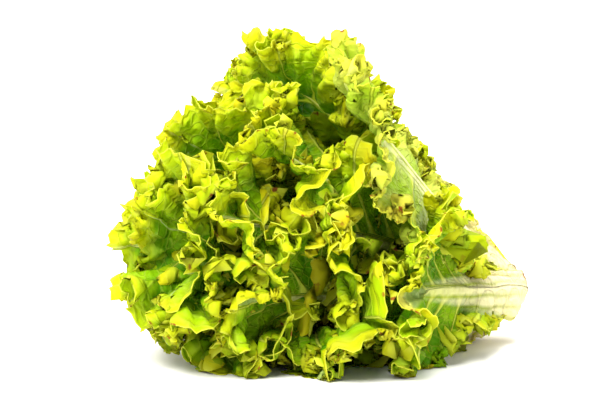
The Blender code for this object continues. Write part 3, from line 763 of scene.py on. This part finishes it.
def stem_flesh():
    """Cut lettuce stem: watery cream flesh with a soft gloss, a ring of vessels and a browned rim."""
    material, tree, end = new_material("lettuce_stem_flesh")
    place = add(tree, "ShaderNodeTexCoord").outputs["Object"]
    mottle = add(tree, NOISE, {"Vector": place, "Scale": STEM_MOTTLE, "Detail": 4.0})
    tone = add(tree, MAP_RANGE, {"Value": mottle, "From Min": 0.4, "From Max": 0.7})
    # The ring of vessels round the pith, the browned rim of the cut, and brown specks
    outward = add(tree, "ShaderNodeAttribute", attribute_name="out_from_pith").outputs["Fac"]
    vessels = add(tree, MAP_RANGE, {"Value": outward, "From Min": 0.58, "From Max": 0.72, "To Max": 0.35})
    at_rim = add(tree, "ShaderNodeAttribute", attribute_name="at_rim").outputs["Fac"]
    patches = add(tree, NOISE, {"Vector": place, "Scale": STEM_PATCHES, "Detail": 3.0})
    uneven = add(tree, MAP_RANGE, {"Value": patches, "From Min": 0.36, "From Max": 0.58})
    brown = add(tree, MATH, {0: at_rim, 1: uneven}, operation="MULTIPLY")
    specks = add(tree, NOISE, {"Vector": place, "Scale": STEM_SPECKS, "Detail": 1.0})
    speck = add(tree, MAP_RANGE, {"Value": specks, "From Min": 0.68, "From Max": 0.72, "To Max": 0.7})
    colour = add(tree, MIX, {"Factor": tone, "A": STEM_CREAM, "B": STEM_STRAW}, data_type="RGBA")
    for shown, over in ((vessels, VESSEL_GREEN), (brown, CUT_BROWN), (speck, SPECK_BROWN)):
        colour = add(tree, MIX, {"Factor": shown, "A": colour, "B": over}, data_type="RGBA")
    bump = add(tree, "ShaderNodeBump", {"Height": mottle, "Strength": 0.4, "Distance": STEM_BUMP})
    skin = add(tree, "ShaderNodeBsdfPrincipled", {"Base Color": colour, "Roughness": 0.45, "Normal": bump,
                                                  "IOR": 1.4})
    tree.links.new(skin.outputs[0], end.inputs["Surface"])
    return material


def make_leaves(tissue):
    """Every blade as a plain mesh that rides on the head and stands for its solid."""
    rng = np.random.default_rng(SEED)
    tree = blade_tree(ruffle_tree())
    sockets = {item.name: item.identifier for item in tree.interface.items_tree if item.in_out == "INPUT"}
    made = []
    for index in range(LEAF_COUNT):
        points, triangles, reads, vein = leaf_sheet(index, rng)
        mesh = bpy.data.meshes.new(f"blade_{index + 1:02d}")
        mesh.from_pydata(points, [], triangles)
        for name, values in reads.items():
            mesh.attributes.new(name, "FLOAT", "POINT").data.foreach_set("value", values.astype(np.float32))
        veins = mesh.attributes.new("vein", "FLOAT_VECTOR", "POINT")
        veins.data.foreach_set("vector", vein.astype(np.float32).ravel())
        blade = bpy.data.objects.new(f"blade_{index + 1:02d}", mesh)
        bpy.context.scene.collection.objects.link(blade)
        modifier = blade.modifiers.new("ruffles", "NODES")
        modifier.node_group = tree
        roll = ROLL_ANGLE * ROLL_SHARES.get(index, 1.0)
        given = BLADE_SIZES | {"Roll Angle": roll, "Seed": index * SEED_STEP, "Material": tissue}
        for name, value in given.items():
            modifier[sockets[name]] = value
        made.append(blade)
    graph = bpy.context.evaluated_depsgraph_get()
    for index, blade in enumerate(made):
        whole = bpy.data.meshes.new_from_object(
            blade.evaluated_get(graph), preserve_all_data_layers=True, depsgraph=graph
        )
        blade.modifiers.clear()
        blade.data = whole
        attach(blade, "root")
        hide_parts(f"leaf_{index + 1:02d}")


CUT_RIM = 0.0014  # how far the rounded rim of the cut reaches
CUT_ROUGHNESS = 0.00045
CUT_BROWNED = 0.0035  # how far up the side the cut is browned
OUT_OF_ROUND = 0.012
PITH_RADIUS, FINE_TIP_RADIUS = 0.0004, 0.0003
FACE_RINGS, RIM_RINGS, SIDE_RINGS = 14, 7, 20
STEM_FINE_SIDES = 96


def make_stem(flesh):
    """The stem turned finely: an uneven cut face with a rounded rim, a foot and the cone above it."""
    face = np.linspace(PITH_RADIUS, STEM_RADIUS - CUT_RIM, FACE_RINGS)
    bend = np.linspace(0, math.pi / 2, RIM_RINGS)[1:]
    rim_radius = STEM_RADIUS - CUT_RIM + CUT_RIM * np.sin(bend)
    rim_height = CUT_RIM * (1 - np.cos(bend))
    up = np.linspace(0, 1, SIDE_RINGS)[1:]
    widths = (STEM_RADIUS, STEM_RADIUS, STEM_TIP_RADIUS, FINE_TIP_RADIUS)
    side_radius = np.interp(up, (0, FIRST_ROOT, LAST_ROOT, 1), widths)
    radii = np.concatenate([face, rim_radius, side_radius])
    heights = np.concatenate([np.zeros(len(face)), rim_height, CUT_RIM + up * (STEM_LENGTH - CUT_RIM)])
    angle = 2 * np.pi * np.arange(STEM_FINE_SIDES) / STEM_FINE_SIDES
    low = np.clip(1 - heights / (4 * CUT_RIM), 0, 1)[:, None]
    spiral = np.sin(3 * angle + 9 * radii[:, None] / STEM_RADIUS)
    waves = spiral + 0.6 * np.sin(7 * angle + 1.3) + 0.4 * np.sin(17 * angle)
    height = heights[:, None] + CUT_ROUGHNESS * low * (1 + waves * radii[:, None] / STEM_RADIUS)
    radius = radii[:, None] * (1 + OUT_OF_ROUND * np.sin(5 * angle + 0.7) * low)
    across = np.cos(angle)[:, None] * UP + np.sin(angle)[:, None] * FRONT
    rings = height[..., None] * AXIS + radius[..., None] * across
    points = np.concatenate([rings.reshape(-1, 3), [CUT_ROUGHNESS * AXIS, STEM_LENGTH * AXIS]])
    points = points + np.array([0, 0, BUTT_HEIGHT]) - ORIGIN
    side, after = np.arange(STEM_FINE_SIDES), (np.arange(STEM_FINE_SIDES) + 1) % STEM_FINE_SIDES
    foot, tip = len(points) - 2, len(points) - 1
    faces = [(foot, a, b) for a, b in zip(side.tolist(), after.tolist())]
    for ring in range(len(radii) - 1):
        base = ring * STEM_FINE_SIDES
        faces += [(base + a, base + STEM_FINE_SIDES + a, base + STEM_FINE_SIDES + b, base + b)
                  for a, b in zip(side.tolist(), after.tolist())]
    base = (len(radii) - 1) * STEM_FINE_SIDES
    faces += [(base + a, tip, base + b) for a, b in zip(side.tolist(), after.tolist())]
    mesh = bpy.data.meshes.new("cut_stem")
    mesh.from_pydata(points, [], faces)
    mesh.polygons.foreach_set("use_smooth", [True] * len(faces))
    at_rim = np.exp(-(((radii - STEM_RADIUS) / CUT_RIM) ** 2)) * np.clip(1 - heights / CUT_BROWNED, 0, 1)
    for name, shares in (("at_rim", at_rim), ("out_from_pith", radii / STEM_RADIUS)):
        values = np.concatenate([np.repeat(shares, STEM_FINE_SIDES), [0, 0]])
        mesh.attributes.new(name, "FLOAT", "POINT").data.foreach_set("value", values.astype(np.float32))
    mesh.materials.append(flesh)
    stem = bpy.data.objects.new("cut_stem", mesh)
    bpy.context.scene.collection.objects.link(stem)
    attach(stem, "root")
    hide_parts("stem")


FLOOR_REACH = 4.0
SWEEP_FROM = 1.2
SWEEP_RADIUS = 1.0
SWEEP_STEPS = 24
BACKDROP_HEIGHT = 3.0
FLOOR_LIGHT, FLOOR_DARK = linear("#f7f5f3"), linear("#f4f1ee")
FLOOR_MOTTLE = 40.0  # repeats a metre: 25 mm
SKY_STRENGTH = 0.95
KEY_SPREAD_DEG, KEY_STRENGTH, KEY_FROM = 35.0, 6.9, (-0.35, -0.65, 1.1)
TOP_SIZE, TOP_WATTS, TOP_FROM = 0.9, 12.0, (0.25, 0.35, 1.2)
LIT_MIDDLE = (0, 0, 0.09)


def make_studio():
    """A plain pale floor, soft light from all round, a broad sun from the front left and a lamp above.

    The floor is matt paint: pale and without gloss, so that it shows the head's soft shadow alone.
    """
    material, tree, end = new_material("matt_floor_paint")
    place = add(tree, "ShaderNodeTexCoord").outputs["Object"]
    mottle = add(tree, NOISE, {"Vector": place, "Scale": FLOOR_MOTTLE, "Detail": 3.0})
    colour = add(tree, MIX, {"Factor": mottle, "A": FLOOR_LIGHT, "B": FLOOR_DARK}, data_type="RGBA")
    paint = add(tree, "ShaderNodeBsdfPrincipled", {"Base Color": colour, "Roughness": 0.9})
    tree.links.new(paint.outputs[0], end.inputs["Surface"])
    # The floor turns up far behind into a plain backdrop, so that no horizon shows
    turns = np.linspace(0, math.pi / 2, SWEEP_STEPS)
    back = SWEEP_FROM + SWEEP_RADIUS
    depth = np.concatenate([[-FLOOR_REACH], SWEEP_FROM + SWEEP_RADIUS * np.sin(turns), [back]])
    rise = np.concatenate([[0], SWEEP_RADIUS * (1 - np.cos(turns)), [BACKDROP_HEIGHT]])
    points = [(side, y, z) for y, z in zip(depth, rise) for side in (-FLOOR_REACH, FLOOR_REACH)]
    faces = [(2 * k, 2 * k + 1, 2 * k + 3, 2 * k + 2) for k in range(len(depth) - 1)]
    mesh = bpy.data.meshes.new("floor")
    mesh.from_pydata(points, [], faces)
    mesh.polygons.foreach_set("use_smooth", [True] * len(faces))
    mesh.materials.append(material)
    floor = bpy.data.objects.new("floor", mesh)
    bpy.context.scene.collection.objects.link(floor)
    world = bpy.data.worlds.new("studio")
    bpy.context.scene.world = world
    world.use_nodes = True
    sky = world.node_tree.nodes["Background"].inputs
    sky["Color"].default_value, sky["Strength"].default_value = (1, 1, 1, 1), SKY_STRENGTH
    sun = bpy.data.lights.new("key", "SUN")
    sun.angle, sun.energy = math.radians(KEY_SPREAD_DEG), KEY_STRENGTH
    top = bpy.data.lights.new("top", "AREA")
    top.size, top.energy = TOP_SIZE, TOP_WATTS
    for lamp, where in ((sun, KEY_FROM), (top, TOP_FROM)):
        holder = bpy.data.objects.new(lamp.name, lamp)
        holder.location = where
        holder.rotation_euler = (Vector(LIT_MIDDLE) - Vector(where)).to_track_quat("-Z", "Y").to_euler()
        bpy.context.scene.collection.objects.link(holder)


CAMERA_LENS = 85.0
CAMERA_DISTANCE = 0.858
CAMERA_ELEVATION_DEG = 3.0
CAMERA_TURN_DEG = 5.0
CAMERA_AIM = (-0.0226, 0.0, 0.0932)


def make_camera():
    """The camera at the photograph's angle."""
    data = bpy.data.cameras.new("camera")
    data.lens = CAMERA_LENS
    camera = bpy.data.objects.new("camera", data)
    rise, turn = math.radians(CAMERA_ELEVATION_DEG), math.radians(CAMERA_TURN_DEG)
    back = Vector((-math.sin(turn) * math.cos(rise), -math.cos(turn) * math.cos(rise), math.sin(rise)))
    camera.location = Vector(CAMERA_AIM) + back * CAMERA_DISTANCE
    camera.rotation_euler = (-back).to_track_quat("-Z", "Y").to_euler()
    bpy.context.scene.collection.objects.link(camera)
    bpy.context.scene.camera = camera


make_studio()
make_camera()
make_leaves(leaf_tissue())
make_stem(stem_flesh())
bpy.context.scene.view_settings.view_transform = "Standard"
